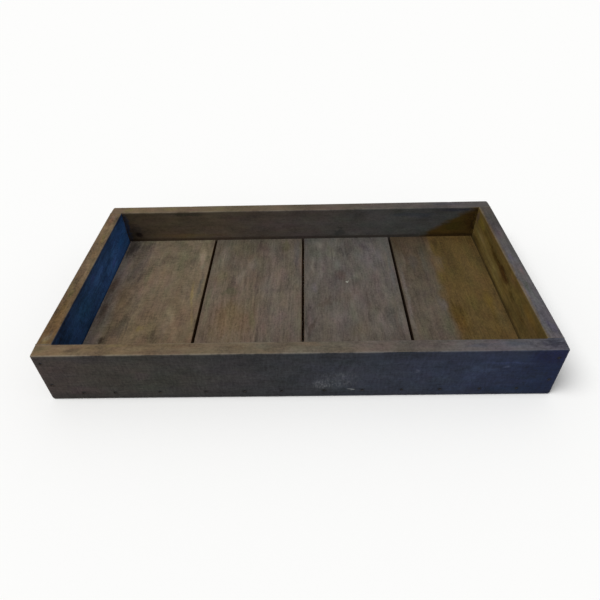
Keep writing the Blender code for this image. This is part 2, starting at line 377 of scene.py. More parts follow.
def with_pockets(points, nails, face_y, inwards):
    """Squeezes the squares round each nail on a face into circles and sinks them. Returns the stain too."""
    stain = np.zeros(len(points))
    on_face = np.abs(points[:, 1] - face_y) < ON_FACE
    for x, z in nails:
        offset = points[:, [0, 2]] - (x, z)
        square = np.abs(offset).max(axis=1)
        near = on_face & (square < POCKET_REACH)
        straight = np.maximum(np.linalg.norm(offset, axis=1), TINY)
        blend = np.clip((square - POCKET_RINGS[-1]) / (POCKET_REACH - POCKET_RINGS[-1]), 0, 1)
        factor = np.where(near, (1 - blend) * square / straight + blend, 1.0)
        points[:, [0, 2]] += offset * (factor - 1)[:, None]
        points[near, 1] += inwards * np.interp(square, POCKET_RINGS, POCKET_DEPTHS)[near]
        black = np.clip(STAIN_CORE - square / STAIN_REACH, 0, STAIN_MOST)
        stain = np.maximum(stain, np.where(near, black, 0))
    return points, stain


# %% [markdown]
# How round an arris is changes from place to place.
# A rail's end is handled and knocked most at its outer corner. At its inner side it is only as round as the
# end board beside it, and along the stretch where that board's end meets it, it is almost sharp.

# %% Radii of a board
INNER_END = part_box("right_end")[0].x
SEAT_STEPS = np.array([-1.4, -0.8, -0.3, 0.2, 0.8]) * MM
RIM_ROUND, FOOT_ROUND, TIGHT_ROUND = 1.8 * MM, 2.4 * MM, 0.25 * MM


def graded(points, low, high, radii, inner, seam, tight):
    """The rounding radii at each point. A board that isn't a rail has the same ones all over.

    A rail's end is rounded most at its outer corner, and at its inner side only by seam, as its neighbour
    is. Where that neighbour's end meets it, its inner radius shrinks if it is told to be tight.
    """
    radii = np.tile(radii, (len(points), 1))
    if inner is None:
        return radii
    inner_y = low[1] if inner == MINUS_Y else high[1]
    outwards = np.abs(points[:, 1] - inner_y) / (high[1] - low[1])
    radii[:, :2] = seam + (radii[:, :2] - seam) * np.clip(outwards, 0, 1)[:, None]
    if tight:
        past = (np.abs(points[:, 0]) - INNER_END - SEAT_STEPS[0]) / (SEAT_STEPS[3] - SEAT_STEPS[0])
        radii[:, inner] += np.clip(past, 0, 1) * (TIGHT_ROUND - radii[:, inner])
    return radii


# %% [markdown]
# The lattice of a board has its extra places where the surface will turn: at every arris as far as its
# widest radius goes, round the nails, and where the end boards meet a rail.

# %% Lattice of one board
LEAST_TURN = 0.6 * MM


def board_lattice(low, high, step, upright, rim, foot, nails):
    """The points and quads of a board that is still square."""
    widest = max(*upright, *rim[:2], *foot[:2], LEAST_TURN)
    x_extra = [edge_places(low[0], high[0], widest, widest)]
    y_extra = edge_places(low[1], high[1], max(upright[0], RIM_ROUND), max(upright[1], RIM_ROUND))
    z_extra = [edge_places(low[2], high[2], max(*foot, LEAST_TURN), max(*rim, LEAST_TURN))]
    if nails is not None:
        x_extra += [pocket_places(nails[:, 0]), INNER_END + SEAT_STEPS, -INNER_END - SEAT_STEPS]
        z_extra.append(pocket_places(nails[:, 1]))
    return lattice_skin(
        places(low[0], high[0], step[0], np.concatenate(x_extra)),
        places(low[1], high[1], step[1], y_extra),
        places(low[2], high[2], step[2], np.concatenate(z_extra)),
    )


# %% [markdown]
# A finished skin goes into the scene in the place of its node. It rides on the frame's one body, and it
# carries two values at each point for the finish to read: wear, which is high on the upper arrises where
# hands and cloths rub the stain away, and stain, the black that a nail leaves in the wood round it. On the
# front rail, wear also carries a painted highlight along the upper arris.

# %% Skin into the scene
def add_wood(node, points, quads, wear, stain):
    """Makes the object that stands for this node, from its skin and the two values."""
    mesh = bpy.data.meshes.new(node + "_wood")
    mesh.from_pydata(points.tolist(), [], quads.tolist())
    mesh.shade_smooth()
    for name, values in (("wear", wear), ("stain", stain)):
        mesh.attributes.new(name, "FLOAT", "POINT").data.foreach_set("value", values.astype(np.float32))
    board = bpy.data.objects.new(node + "_wood", mesh)
    scene.collection.objects.link(board)
    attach(board, "root")
    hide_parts(node)
    print("board:", board.name, len(mesh.vertices), "points,", 2 * len(mesh.polygons), "triangles")
    return board


# %% [markdown]
# One function now makes any of the eight boards from its box in the frame.
# It lays out the lattice, sinks the nail pockets, eases the arrises, and adds the waves, the wandering sides
# and the nicks, in that order: a pocket needs a flat face, and a wave may bend what is already round.

# %% Board maker
WAVE_DEPTH, WAVE_SPANS = 0.22 * MM, (0.21, 0.21, 0.09)
NICK_RADII_MM, NICK_DEPTHS_MM = (1.2, 3.6), (0.1, 0.4)
CORE_DEPTH = 4 * MM
WEAR_REACH = 1.3 * MM
FOOT_WEAR = 0.3


def make_board(
    node, seed, step, upright, rim, foot, nicks, sway=None, flare=None, nails=None, inner=None, reach=0.0
):
    """One board as a closed skin that stands for this node, with steps and radii in metres.

    upright, rim and foot are the radii of its arrises, and nicks is how many nicks they have. sway and flare
    are for the sides of a floor board. nails has the places of a rail's nails, and inner is the number of
    its inner side. reach is how far a board's ends close up to the rails.
    """
    low, high = (np.array(corner, float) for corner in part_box(node))
    low[1] -= reach
    high[1] += reach
    points, quads = board_lattice(low, high, step, upright, rim, foot, nails)
    second_nearest = np.sort(np.minimum(points - low, high - points), axis=1)[:, 1]
    upper = np.where(points[:, 2] > (low[2] + high[2]) / 2, 1.0, FOOT_WEAR)
    wear = upper * np.exp(-((second_nearest / WEAR_REACH) ** 2))
    stain = np.zeros(len(points))
    if inner == PLUS_Y:
        points, stain = with_pockets(points, nails, low[1], 1)
    elif inner == MINUS_Y:
        points, stain = with_pockets(points, nails, high[1], -1)
    inwards = inward(points, low, high, CORE_DEPTH)
    rim_radii = graded(points, low, high, rim, inner, RIM_ROUND, True)
    foot_radii = graded(points, low, high, foot, inner, FOOT_ROUND, False)
    points = eased(points, low, high, upright, rim_radii, foot_radii)
    points = points + inwards * (WAVE_DEPTH * (0.5 + 0.5 * waves(points, WAVE_SPANS, seed)))[:, None]
    if sway:
        points = swayed(points, low, high, sway, flare, seed)
    draw = np.random.default_rng(seed)
    radii = draw.uniform(*NICK_RADII_MM, nicks) * MM
    depths = draw.uniform(*NICK_DEPTHS_MM, nicks) * MM
    points = nicked(points, arris_spots(low, high, nicks, draw), radii, depths, inwards)
    return add_wood(node, points, quads, wear, stain)


# %% [markdown]
# The walls. A rail's ends are the most rounded places, their lower corners above all, because the tray is
# set down on them.
# The end boards are drawn close up to the rails, as nails draw them: in the rim the joint is no more than a
# fine line. Apart from their waves and nicks, the two rails mirror each other, and so do the end boards.
# So a rail's row in the table has only its seed, its inner side, and the radii of its upright arrises and
# its foot, first in front and then behind. An end board's row has its seed and the radii of its foot, first
# on the left and then on the right.

# %% Walls
CORNER_ROUND, SEAM_ROUND = 3.6 * MM, 0.5 * MM
RAIL_END_TOP_ROUND, RAIL_END_BOTTOM_ROUND = 3.4 * MM, 4.6 * MM
RAIL_STEP = (3.2 * MM, 1.8 * MM, 3.0 * MM)
RAIL_RIM = (RAIL_END_TOP_ROUND, RAIL_END_TOP_ROUND, RIM_ROUND, RIM_ROUND)
END_STEP = (1.8 * MM, 2.4 * MM, 2.6 * MM)
END_RIM = (RIM_ROUND, RIM_ROUND, TIGHT_ROUND, TIGHT_ROUND)
CLOSED_UP = 0.25 * MM
RAILS = {
    "front_rail": (11, PLUS_Y, (CORNER_ROUND, SEAM_ROUND), (FOOT_ROUND, SEAM_ROUND)),
    "back_rail": (12, MINUS_Y, (SEAM_ROUND, CORNER_ROUND), (SEAM_ROUND, FOOT_ROUND)),
}
ENDS = {"left_end": (13, (FOOT_ROUND, SEAM_ROUND)), "right_end": (14, (SEAM_ROUND, FOOT_ROUND))}

boards = {}
for node, (seed, inner, upright, foot) in RAILS.items():
    boards[node] = make_board(
        node,
        seed,
        RAIL_STEP,
        upright=upright,
        rim=RAIL_RIM,
        foot=(RAIL_END_BOTTOM_ROUND, RAIL_END_BOTTOM_ROUND, *foot),
        nicks=18,
        nails=nails_of(node),
        inner=inner,
    )
for node, (seed, foot) in ENDS.items():
    boards[node] = make_board(
        node,
        seed,
        END_STEP,
        upright=(TIGHT_ROUND, TIGHT_ROUND),
        rim=END_RIM,
        foot=(*foot, 0.0, 0.0),
        nicks=7,
        reach=CLOSED_UP,
    )

# %% [markdown]
# The floor boards lie side by side, with open joints a few millimetres wide.
# Each has a sway and a flare for its left side and its right one, in millimetres. Only the two outermost
# sides are square at the foot, because there the wall is close. The camera looks straight down the middle
# joint, so the boards on both sides of it flare most.

# %% Floor boards
FLOOR_STEP = (1.9 * MM, 2.2 * MM, 2.4 * MM)
FLOOR_SWAY_MM = {1: (0.25, 0.12), 2: (0.12, 0.12), 3: (0.12, 0.12), 4: (0.12, 0.2)}
FLOOR_FLARE_MM = {1: (0.0, 1.0), 2: (1.0, 1.9), 3: (1.9, 1.0), 4: (1.0, 0.0)}
FLOOR_ARRIS = 0.45 * MM
FLOOR_SEED = 20

for number, sway in FLOOR_SWAY_MM.items():
    node = f"floor_board_{number}"
    boards[node] = make_board(
        node,
        FLOOR_SEED + number,
        FLOOR_STEP,
        upright=(SEAM_ROUND, SEAM_ROUND),
        rim=(FLOOR_ARRIS, FLOOR_ARRIS, SEAM_ROUND, SEAM_ROUND),
        foot=(FLOOR_ARRIS, FLOOR_ARRIS, SEAM_ROUND, SEAM_ROUND),
        nicks=6,
        sway=[value * MM for value in sway],
        flare=[value * MM for value in FLOOR_FLARE_MM[number]],
    )

# %% [markdown]
# Weathered hardwood is one solid material, seen wherever a saw cut it.
# Its patterns could be painted on each face, but then they would break at every arris. Instead they are
# worked out in space. The first step is to say where a point lies in its own board: along the grain, across
# it and through the thickness. No tree grows straight, so a slow noise bends that space a little. A second,
# finer noise moves points mostly along the grain, for stains, whose edges bleed along the fibres. Every
# board is shifted to another part of the noise, by a number worked out from its name.

# %% Places in a board
WANDER_SPANS_MM, WANDER = (230, 70, 70), (0.0, 8 * MM, 6 * MM)
FRAY_SPANS_MM, FRAY = (24, 10, 10), (13 * MM, 6 * MM, 6 * MM)
BEND_DETAIL = (3, 0.55)
SHIFT_COUNT, SHIFT_STEP = 17, 0.31


def stretched_noise(tree, place, spans_mm, detail, roughness, output=0):
    """A noise whose largest blots are about this long along each axis."""
    scaled = add_node(tree, "ShaderNodeVectorMath", [place, per_metre(*spans_mm)], operation="MULTIPLY")
    inputs = {"Vector": scaled, "Scale": 1, "Detail": detail, "Roughness": roughness}
    return add_node(tree, "ShaderNodeTexNoise", inputs, output=output)


def moved_by_noise(tree, place, source, spans_mm, reach):
    """The place, moved by a noise of the source by up to about reach along each axis."""
    noise = stretched_noise(tree, source, spans_mm, *BEND_DETAIL, output=1)
    noise = add_node(tree, "ShaderNodeVectorMath", [noise, (0.5, 0.5, 0.5)], operation="SUBTRACT")
    twice = tuple(2 * value for value in reach)
    return add_node(tree, "ShaderNodeVectorMath", [noise, twice, place], operation="MULTIPLY_ADD")


def wood_space(tree, node, axes):
    """Four vectors and a number that tell where a point lies.

    They are the bent board space, the same shifted so that no two boards look alike, the place in the tray,
    that place frayed, and the share of the board's length before the point. axes names the tray's axes in
    the order along the grain, across it and through the thickness.
    """
    low, high = (np.array(corner, float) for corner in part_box(node))
    order = ["XYZ".index(axis) for axis in axes]
    place = add_node(tree, "ShaderNodeTexCoord", output="Object")
    middle = tuple(((low + high) / 2).tolist())
    centred = add_node(tree, "ShaderNodeVectorMath", [place, middle], operation="SUBTRACT")
    parts = add_node(tree, "ShaderNodeSeparateXYZ", [centred]).node.outputs
    board = add_node(tree, "ShaderNodeCombineXYZ", [parts[i] for i in order])
    shift = (sum(map(ord, node)) % SHIFT_COUNT) * SHIFT_STEP
    apart = add_node(tree, "ShaderNodeVectorMath", [board, (shift,) * 3], operation="ADD")
    grain = moved_by_noise(tree, board, apart, WANDER_SPANS_MM, WANDER)
    figure = add_node(tree, "ShaderNodeVectorMath", [grain, (shift,) * 3], operation="ADD")
    frayed = moved_by_noise(tree, place, apart, FRAY_SPANS_MM, [FRAY[order.index(i)] for i in range(3)])
    half = float(high[order[0]] - low[order[0]]) / 2
    ends = {"Value": parts[order[0]], "From Min": -half, "From Max": half}
    share = add_node(tree, "ShaderNodeMapRange", ends)
    return grain, figure, place, frayed, share


# %% [markdown]
# Growth rings. A tree is a bundle of nested tubes round its heart, and a board is a slice of it.
# The distance from the heart line, counted in rings, gives the rings on every face at once: straight lines
# where the board runs along the tubes, arches where it cuts them at a slant, arcs on its ends. Each ring
# darkens slowly to its late wood and then stops short. On a worn board only some of them show, so a slow
# noise fades them in and out.

# %% Growth rings
UNEVEN_SPANS_MM, UNEVEN_DETAIL, UNEVEN_RINGS = (60, 22, 22), (3, 0.6), 1.4
LATE_WOOD, RING_END = (0.1, 0.8), (0.82, 1.0)
SHOWN_SPANS_MM, SHOWN_DETAIL, SHOWN = (80, 30, 30), (2, 0.5), (0.42, 0.62)


def growth_rings(tree, grain, figure, heart, lean, ring_mm):
    """How much late wood shows, from 0 to 1.

    heart is where the tree's heart lies across and through, in metres from the board's middle, and lean is
    how fast it moves there along the grain.
    """
    along = add_node(tree, "ShaderNodeSeparateXYZ", [grain])
    leaning = add_node(tree, "ShaderNodeVectorMath", {0: (0, *lean), "Scale": along}, operation="SCALE")
    away = add_node(tree, "ShaderNodeVectorMath", [grain, leaning], operation="SUBTRACT")
    away = add_node(tree, "ShaderNodeVectorMath", [away, (0, *heart)], operation="SUBTRACT")
    away = add_node(tree, "ShaderNodeVectorMath", [away, (0, 1, 1)], operation="MULTIPLY")
    away = add_node(tree, "ShaderNodeVectorMath", [away], output=1, operation="LENGTH")
    uneven = stretched_noise(tree, figure, UNEVEN_SPANS_MM, *UNEVEN_DETAIL)
    count = add_node(tree, "ShaderNodeMath", [away, 1 / (ring_mm * MM)], operation="MULTIPLY")
    count = add_node(tree, "ShaderNodeMath", [uneven, UNEVEN_RINGS, count], operation="MULTIPLY_ADD")
    part = add_node(tree, "ShaderNodeMath", [count], operation="FRACT")
    late = {"Value": part, "From Min": LATE_WOOD[0], "From Max": LATE_WOOD[1]}
    late = add_node(tree, "ShaderNodeMapRange", late, interpolation_type="SMOOTHSTEP")
    end = {"Value": part, "From Min": RING_END[0], "From Max": RING_END[1], "To Min": 1.0, "To Max": 0.0}
    end = add_node(tree, "ShaderNodeMapRange", end, interpolation_type="SMOOTHSTEP")
    ring = add_node(tree, "ShaderNodeMath", [late, end], operation="MULTIPLY")
    shows = stretched_noise(tree, figure, SHOWN_SPANS_MM, *SHOWN_DETAIL)
    shows = {"Value": shows, "From Min": SHOWN[0], "From Max": SHOWN[1]}
    shows = add_node(tree, "ShaderNodeMapRange", shows)
    return add_node(tree, "ShaderNodeMath", [ring, shows], operation="MULTIPLY")


# %% [markdown]
# Fibres, pores, grit and saw marks: six noises, each drawn out as what it stands for is.
# Fibres are the finest lines that show from a step away, and pores are short dark dashes between them, both
# drawn about twice as coarse as real ones so that they show at all. Streaks are bundles of fibres. Mottle
# is the cloudiness that weather and dirt leave at every size, so it has many octaves. Saw marks run
# across the grain, on one face of a board that was never planed. Grit is dried dirt, in specks that follow
# nothing. In the table each noise has its spans in millimetres, its octaves and its roughness.

# %% Fibres and mottle
UP, DOWN, LEFT, RIGHT, FRONT = (0, 0, 1), (0, 0, -1), (-1, 0, 0), (1, 0, 0), (0, -1, 0)
FACING = (0.6, 0.85)
FIGURE_NOISES = {
    "fibre": ((15, 1.2, 1.2), 3, 0.6),
    "streak": ((60, 4.0, 4.0), 3, 0.55),
    "mottle": ((46, 27, 27), 6, 0.74),
    "saw": ((3.0, 12, 12), 3, 0.65),
    "grit": ((3.4, 2.8, 2.8), 4, 0.75),
    "pore": ((6, 0.8, 0.8), 1, 0.5),
}
PORE_DEPTH, PORE_AT = 0.13, (0.6, 0.74)


def figure_level(tree, figure, ring, normal, sawn, weights):
    """How bright the wood is next to its mean, and the patterns that made it up.

    The level is 1 plus each weight times its noise less a half, less the late wood and the pores. sawn is
    the direction of the face that has the saw marks.
    """
    patterns = {name: stretched_noise(tree, figure, *noise) for name, noise in FIGURE_NOISES.items()}
    pore = {"Value": patterns["pore"], "From Min": PORE_AT[0], "From Max": PORE_AT[1]}
    patterns["pore"] = add_node(tree, "ShaderNodeMapRange", pore)
    patterns["ring"] = ring
    outwards = add_node(tree, "ShaderNodeVectorMath", [normal, sawn], output=1, operation="DOT_PRODUCT")
    marks = {"Value": outwards, "From Min": FACING[0], "From Max": FACING[1]}
    marks |= {"To Min": 0.5, "To Max": patterns["saw"]}
    patterns["saw"] = add_node(tree, "ShaderNodeMapRange", marks)
    used = {name: weight for name, weight in weights.items() if weight}
    centred = sum(weight for name, weight in used.items() if name != "ring")
    level = 1.0 - centred / 2
    for name, weight in {**used, "pore": -PORE_DEPTH}.items():
        level = add_node(tree, "ShaderNodeMath", [patterns[name], weight, level], operation="MULTIPLY_ADD")
    return level, patterns


# %% [markdown]
# Colour goes on face by face: the inside of a wall is coloured apart from its rim, and on some walls that
# colour is painted coloured light.
# A face is found by its normal. Its base is a row of tones along the board. Over that come washes, which
# fill everything beyond a line, and marks, which are soft ellipses: streaks, patches, knots, scuffs. Both
# are placed by the tray's own two axes in that face, in millimetres, and both have frayed edges. Only the
# painted shade in a corner keeps to a ruled line. A small mark is frayed less, or nothing would be left of
# it.

# %% Washes and marks
FAR_MM = 1e6
FRAYED_FROM_MM = 8
MARK_OUTSIDE, MARK_INSIDE = 1.05, 0.2


def mixed(tree, mask, colour, tone):
    """The colour, with the tone laid over it as far as the mask goes."""
    return add_node(tree, "ShaderNodeMix", {0: mask, 6: colour, 7: tone}, output=2, data_type="RGBA")


def soft_mask(tree, value, start, end, amount=1.0):
    """Rises smoothly from 0 to amount while the value goes from start to end."""
    inputs = {"Value": value, "From Min": start, "From Max": end, "To Max": amount}
    return add_node(tree, "ShaderNodeMapRange", inputs, interpolation_type="SMOOTHSTEP")


def tone_along(tree, share, tones):
    """A colour that runs through these tones from one end of the board to the other."""
    ramp = tree.nodes.new("ShaderNodeValToRGB")
    tree.links.new(share, ramp.inputs[0])
    stops = ramp.color_ramp.elements
    while len(stops) < len(tones):
        stops.new(1.0)
    for index, tone in enumerate(tones):
        stops[index].position = index / (len(tones) - 1)
        stops[index].color = linear(tone)
    return ramp.outputs[0]


def washed(tree, colour, place, frayed, washes):
    """Lays a tone over all that is past a line.

    A wash is the direction that it spreads in, how far from the tray's middle it starts, how softly, both in
    millimetres, its tone, how much it covers, and True if its line is ruled.
    """
    for direction, start, soft, tone, amount, *ruled in washes:
        source = place if ruled else frayed
        along = add_node(tree, "ShaderNodeVectorMath", [source, direction], output=1, operation="DOT_PRODUCT")
        mask = soft_mask(tree, along, start * MM, (start + soft) * MM, amount)
        colour = mixed(tree, mask, colour, linear(tone))
    return colour


def marked(tree, colour, frayed, ragged, direction, marks):
    """Lays each mark on.

    A mark is its place and its reach in the face's two axes, in millimetres, its tone, how much it covers
    and, if it is turned, by how many degrees from the first axis towards the second. ragged is added to the
    distance from the mark's middle.
    """
    blind = int(np.argmax(np.abs(direction)))
    for place, reach, tone, amount, *turned in marks:
        turn = sum(turned)
        place, reach = list(place), list(reach)
        place.insert(blind, 0.0)
        reach.insert(blind, FAR_MM)
        rotation = [0.0, 0.0, 0.0]
        rotation[blind] = math.radians(turn) * (-1 if blind == 1 else 1)
        inputs = {"Vector": frayed, "Location": [value * MM for value in place], "Rotation": rotation}
        inputs["Scale"] = [value * MM for value in reach]
        inside = add_node(tree, "ShaderNodeMapping", inputs, vector_type="TEXTURE")
        distance = add_node(tree, "ShaderNodeVectorMath", [inside], output=1, operation="LENGTH")
        frays = min(min(reach) / FRAYED_FROM_MM, 1.0)
        distance = add_node(tree, "ShaderNodeMath", [ragged, frays, distance], operation="MULTIPLY_ADD")
        mask = soft_mask(tree, distance, MARK_OUTSIDE, MARK_INSIDE, amount)
        colour = mixed(tree, mask, colour, linear(tone))
    return colour


# %% [markdown]
# A scuff leaves chalk only on the highest fibres. So it is drawn as a fine noise of short upright strokes
# that shows inside a few soft ellipses. The marks above make those ellipses, white on black.

# %% Chalk
STROKE_DETAIL, CHALK_HOLDS = (2, 0.6), (0.4, 0.8)
BLACK, WHITE = "#000000", "#FFFFFF"


def chalked(tree, colour, figure, frayed, ragged, direction, tone, spans_mm, patches):
    """Lays the tone on where the noise of strokes is high, inside these patches."""
    strokes = stretched_noise(tree, figure, spans_mm, *STROKE_DETAIL)
    strokes = soft_mask(tree, strokes, *CHALK_HOLDS)
    inside = marked(tree, linear(BLACK), frayed, ragged, direction, patches)
    mask = add_node(tree, "ShaderNodeMath", [strokes, inside], operation="MULTIPLY")
    return mixed(tree, mask, colour, linear(tone))


# %% [markdown]
# A brush wets some fibres and skips others, so the edge of a mark is ragged. A few of the wood's own
# patterns are added up into one number at each point, and a mark takes the point as that much nearer to its
# middle or farther from it.

# %% Ragged edges
RAGGED, RAGGED_BY = 1.3, {"mottle": 1.0, "streak": 0.5, "fibre": 0.35, "grit": 0.3}


def ragged_edge(tree, patterns):
    """RAGGED times the sum of each weight times its pattern less a half."""
    ragged = -RAGGED * (sum(RAGGED_BY.values()) / 2)
    for name, weight in RAGGED_BY.items():
        terms = [patterns[name], RAGGED * weight, ragged]
        ragged = add_node(tree, "ShaderNodeMath", terms, operation="MULTIPLY_ADD")
    return ragged


# %% [markdown]
# The years come over the stain. Growth rings and fibres darken and lighten whatever lies on them, because
# stain follows the grain. A slow noise in the three channels warms one patch and cools the next. Then come
# the arrises, rubbed pale in patches, and on the front rail also given a painted highlight, and the black
# wood round the nails. Both were stored in the skin.

# %% Age
TINT_SPANS_MM, TINT_DETAIL, TINT = (46, 20, 20), (3, 0.6), 0.30
RUBBED_AND_HIGHLIT_WHERE = (0.36, 0.6)
IRON_SHADOW = 0.36


def aged(tree, colour, moved, level, patterns, share, worn_and_highlit):
    """The colour after years of use. worn_and_highlit is the tones of the rubbed arrises, which on the front
    rail are also a painted highlight, and how much they cover.
    """
    tones, amount = worn_and_highlit
    tint = stretched_noise(tree, moved, TINT_SPANS_MM, *TINT_DETAIL, output=1)
    tint_inputs = [tint, (TINT,) * 3, (1 - TINT / 2,) * 3]
    tint = add_node(tree, "ShaderNodeVectorMath", tint_inputs, operation="MULTIPLY_ADD")
    colour = add_node(tree, "ShaderNodeVectorMath", [colour, tint], operation="MULTIPLY")
    colour = add_node(tree, "ShaderNodeVectorMath", {0: colour, "Scale": level}, operation="SCALE")
    # Rubbed arrises, and on the front rail a painted highlight along them.
    wear = add_node(tree, "ShaderNodeAttribute", output=2, attribute_name="wear")
    patchy = soft_mask(tree, patterns["mottle"], *RUBBED_AND_HIGHLIT_WHERE, amount)
    rubbed_and_highlit = add_node(tree, "ShaderNodeMath", [wear, patchy], operation="MULTIPLY")
    colour = mixed(tree, rubbed_and_highlit, colour, tone_along(tree, share, tones))
    stain = add_node(tree, "ShaderNodeAttribute", output=2, attribute_name="stain")
    inked = add_node(tree, "ShaderNodeVectorMath", {0: colour, "Scale": IRON_SHADOW}, operation="SCALE")
    return mixed(tree, stain, colour, inked)


# %% [markdown]
# Dry wood is matt, a little less so on its fibres, and its relief is about a tenth of a millimetre: fibres
# and mottle stand up, late wood and pores lie low. A bump is enough for what is that shallow.

# %% Dry surface
WOOD_ROUGHNESS = (0.62, 0.82)
WOOD_SHINE = 0.15
RELIEF = {"mottle": 0.3, "ring": -0.4, "pore": -0.6}
RELIEF_DEPTH, RELIEF_STRENGTH = 0.14 * MM, 0.8


def dry_surface(tree, shader, patterns):
    """Sets the roughness, the relief and the shine of bare dry wood."""
    gloss = {"Value": patterns["fibre"], "To Min": WOOD_ROUGHNESS[1], "To Max": WOOD_ROUGHNESS[0]}
    tree.links.new(add_node(tree, "ShaderNodeMapRange", gloss), shader.inputs["Roughness"])
    height = patterns["fibre"]
    for name, weight in RELIEF.items():
        height = add_node(tree, "ShaderNodeMath", [patterns[name], weight, height], operation="MULTIPLY_ADD")
    relief = {"Height": height, "Strength": RELIEF_STRENGTH, "Distance": RELIEF_DEPTH}
    tree.links.new(add_node(tree, "ShaderNodeBump", relief), shader.inputs["Normal"])
    shader.inputs["Specular IOR Level"].default_value = WOOD_SHINE


# %% [markdown]
# The whole finish of one board, put together in the order in which it happened to the wood: the bare wood,
# the coat on each face, the dirt in the joints, and then the years. Painted light and shade go into the coats
# and into the tone of the joints.

# %% Weathered hardwood
SIDE_FACING = (0.93, 0.99)
RUBBED = ["#8C8473", "#857E72"]


def weathered_hardwood(
    node, axes, heart, lean, ring_mm, bare, faces, figure, sawn=FRONT, worn_and_highlit=(RUBBED, 0.0), joint_dirt_and_light=None
):
    """The finish of one board.

    bare is its tones where no face below says otherwise. faces has, for each face, the direction it looks
    in, its tones, its washes and its marks, and after those any chalk, as its tone, the spans of its strokes
    and its patches. figure weighs the patterns, and sawn is where the face with the saw marks looks.
    worn_and_highlit is the tones of the rubbed arrises and how much they cover; on the front rail they are
    pale enough to be a painted highlight as well. joint_dirt_and_light is the tone of the left and right
    sides: the dirt in the joints, painted paler or darker for the light that reaches into them.
    """
    material = bpy.data.materials.new(f"weathered_hardwood_{node}")
    material.use_nodes = True
    tree = material.node_tree
    shader = tree.nodes["Principled BSDF"]
    grain, moved, place, frayed, share = wood_space(tree, node, axes)
    ring = growth_rings(tree, grain, moved, heart, lean, ring_mm)
    normal = add_node(tree, "ShaderNodeTexCoord", output="Normal")
    level, patterns = figure_level(tree, moved, ring, normal, sawn, figure)
    ragged = ragged_edge(tree, patterns)

    colour = tone_along(tree, share, bare)
    for direction, tones, washes, marks, *scuffs in faces:
        coat = washed(tree, tone_along(tree, share, tones), place, frayed, washes)
        coat = marked(tree, coat, frayed, ragged, direction, marks)
        for chalk in scuffs:
            coat = chalked(tree, coat, moved, frayed, ragged, direction, *chalk)
        pair = [normal, direction]
        facing = add_node(tree, "ShaderNodeVectorMath", pair, output=1, operation="DOT_PRODUCT")
        colour = mixed(tree, soft_mask(tree, facing, *FACING), colour, coat)
    # The sides' tone: dirt in the joints, painted paler or darker for the light that reaches into them.
    if joint_dirt_and_light:
        aside = add_node(tree, "ShaderNodeVectorMath", [normal], operation="ABSOLUTE")
        aside = add_node(tree, "ShaderNodeVectorMath", [aside, RIGHT], output=1, operation="DOT_PRODUCT")
        colour = mixed(tree, soft_mask(tree, aside, *SIDE_FACING), colour, linear(joint_dirt_and_light))
    colour = aged(tree, colour, moved, level, patterns, share, worn_and_highlit)
    tree.links.new(colour, shader.inputs["Base Color"])
    dry_surface(tree, shader, patterns)
    boards[node].data.materials.append(material)
    print("finish:", material.name, len(tree.nodes), "nodes")


# %% [markdown]
# The first floor board is the warmest: tan in the middle, greyer on the left, with a pale streak down its
# right side, an arch of rings at the front and a short black streak near the left wall. Faint saw marks
# cross it. A strip along the left wall is painted paler than the wood, a painted light that offsets the
# shadow the wall casts on it here.
# The sides of every floor board are brown from the dirt that collects in the joints, with light painted into
# that tone: it is given paler where the camera looks deepest into a joint, because next to no light gets down
# there, and darker on the fourth board, whose side the key light reaches.

# %% First floor board
FLOOR_AXES, RAIL_AXES, END_AXES = "YXZ", "XZY", "YZX"
BARE_WOOD = ["#4A4036", "#4E443A"]
# Painted light: the strip beside the left wall is painted paler, to offset the wall's shadow there.
PAINTED_LIGHT_STRIP = (LEFT, 254, 29, "#988B7F", 0.95)

board_1_marks = [
    ((-250, 86), (24, 66), "#5A4F47", 0.75),
    # Painted shade: the dark wedge in the back-left corner, along the left wall.
    ((-275, 124), (12, 42), "#443D38", 0.75, -8),
    ((-232, 46), (7, 26), "#57563F", 0.4),
    ((-256, 2), (22, 36), "#64503F", 0.6),
    ((-254, 66), (16, 50), "#5C5249", 0.5),
    ((-178, 82), (22, 38), "#5F5845", 0.65),
    ((-202, 34), (34, 20), "#6F604E", 0.5),
    ((-155, 98), (7, 30), "#8A7A68", 0.85, 5),
    ((-151, 70), (8, 13), "#75705C", 0.6),
    ((-147, 28), (5, 42), "#4F4A42", 0.75),
    ((-156, 2), (3.4, 38), "#7E6D48", 0.75, 9),
    ((-149, -44), (3, 26), "#7A6A48", 0.6, 9),
    ((-276, -28), (7, 30), "#5A4030", 0.6),
    ((-280, 20), (5, 50), "#6B553F", 0.5),
    ((-277, 36), (7, 26), "#6A5140", 0.4),
    ((-216, -40), (20, 11), "#5C4D3D", 0.65),
    ((-190, -64), (6, 36), "#5D4F40", 0.55, 24),
    ((-246, -70), (14, 30), "#51463C", 0.75, -24),
    ((-172, -62), (9, 40), "#75654F", 0.6, 20),
    ((-204, -76), (16, 20), "#6C5C46", 0.5),
    ((-216, -66), (6, 7), "#6E5E38", 0.6),
    ((-262, -87), (6, 11), "#33271C", 0.85),
    ((-196, -78), (5, 18), "#544536", 0.6),
    ((-184, -70), (4, 20), "#56483A", 0.5, 8),
    ((-240, 8), (13, 110), "#4C4234", 0.35),
    ((-180, -48), (14, 40), "#7E6E58", 0.55),
    ((-210, 124), (16, 18), "#7C6D5B", 0.5),
    ((-172, 74), (22, 22), "#4E4638", 0.35),
]
